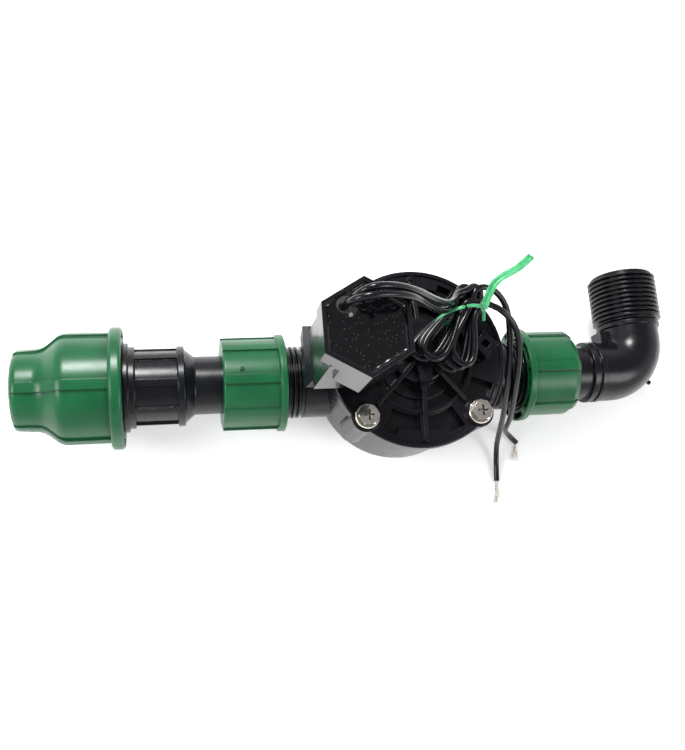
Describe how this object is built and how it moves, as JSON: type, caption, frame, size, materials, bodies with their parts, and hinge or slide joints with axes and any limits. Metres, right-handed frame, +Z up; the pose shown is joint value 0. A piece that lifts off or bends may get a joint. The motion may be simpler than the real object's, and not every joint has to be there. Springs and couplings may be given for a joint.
{
  "type": "solenoid valve",
  "caption": "Diaphragm solenoid valve with a compression outlet, a swivel elbow inlet, green union nuts, a hexagonal coil and two tied leads",
  "frame": {"origin": "centre of the base pad under the valve body", "axes": "+X along the ports' common axis towards the inlet elbow, +Z up along the bonnet axis, +Y along the elbow's threaded leg"},
  "size_m": [0.3116, 0.1112, 0.138],
  "materials": {
    "green_plastic": "satin",
    "black_nylon": "satin",
    "coil_plastic": "gloss",
    "potting_resin": "gloss",
    "stainless_steel": "polished",
    "spring_steel": "satin",
    "rubber_black": "matte",
    "acetal_white": "satin",
    "copper_winding": "satin",
    "lead_sleeve": "satin",
    "tinned_wire": "satin",
    "tie_plastic": "satin"
  },
  "bodies": {
    "valve": {"valve_body": "black_nylon", "bonnet": "black_nylon", "bonnet_screw_front_left": "stainless_steel", "bonnet_screw_front_right": "stainless_steel", "bonnet_screw_back_left": "stainless_steel", "bonnet_screw_back_right": "stainless_steel", "solenoid_body": "coil_plastic", "potting": "potting_resin", "lead_grommet": "rubber_black", "coil_bobbin": "acetal_white", "coil_winding": "copper_winding", "guide_tube": "spring_steel", "pole_piece": "spring_steel", "pilot_seat": "acetal_white", "diaphragm": "rubber_black", "main_spring": "spring_steel", "plunger_spring": "spring_steel", "outlet_gasket": "rubber_black", "inlet_gasket": "rubber_black", "lead_1_run": "lead_sleeve", "lead_2_run": "lead_sleeve", "lead_hank": "lead_sleeve", "lead_1_end": "lead_sleeve", "lead_2_end": "lead_sleeve", "lead_1_strands": "tinned_wire", "lead_2_strands": "tinned_wire", "twist_tie": "tie_plastic"},
    "diaphragm_core": {"diaphragm_plate": "acetal_white", "diaphragm_screw": "stainless_steel", "seat_washer": "rubber_black", "seat_guide": "acetal_white"},
    "plunger": {"plunger": "spring_steel", "plunger_seal": "rubber_black"},
    "bleed_knob": {"bleed_knob": "black_nylon"},
    "outlet_fitting": {"outlet_adapter": "black_nylon", "grip_ring": "acetal_white", "thrust_ring": "black_nylon", "pipe_o_ring": "rubber_black"},
    "outlet_union_nut": {"outlet_union_nut": "green_plastic"},
    "compression_nut": {"compression_nut": "green_plastic"},
    "inlet_elbow": {"inlet_elbow": "black_nylon"},
    "inlet_union_nut": {"inlet_union_nut": "green_plastic"}
  },
  "joints": [
    {"name": "diaphragm_lift", "type": "slide", "parent": "valve", "child": "diaphragm_core", "axis": [0, 0, 1], "range_m": [0, 0.0045], "stiffness_N_per_m": 1200, "springref_m": -0.004, "deforming": ["main_spring", "diaphragm"]},
    {"name": "plunger_lift", "type": "slide", "parent": "valve", "child": "plunger", "axis": [0, 0, 1], "range_m": [0, 0.0025], "stiffness_N_per_m": 300, "springref_m": -0.002, "deforming": ["plunger_spring"]},
    {"name": "bleed_turn", "type": "hinge", "parent": "valve", "child": "bleed_knob", "pos_m": [0.028, 0.0034, 0.0702], "axis": [0, 0, 1], "range_deg": [0, 180]},
    {"name": "outlet_union_turn", "type": "hinge", "parent": "valve", "child": "outlet_union_nut", "pos_m": [-0.065, 0, 0.028], "axis": [1, 0, 0], "continuous": true},
    {"name": "inlet_union_turn", "type": "hinge", "parent": "valve", "child": "inlet_union_nut", "pos_m": [0.07, 0, 0.028], "axis": [1, 0, 0], "continuous": true},
    {"name": "outlet_swivel", "type": "hinge", "parent": "valve", "child": "outlet_fitting", "pos_m": [-0.08, 0, 0.028], "axis": [1, 0, 0], "continuous": true},
    {"name": "compression_nut_turn", "type": "hinge", "parent": "outlet_fitting", "child": "compression_nut", "pos_m": [-0.14, 0, 0.028], "axis": [1, 0, 0], "continuous": true},
    {"name": "elbow_swivel", "type": "hinge", "parent": "valve", "child": "inlet_elbow", "pos_m": [0.09, 0, 0.028], "axis": [1, 0, 0], "continuous": true}
  ]
}
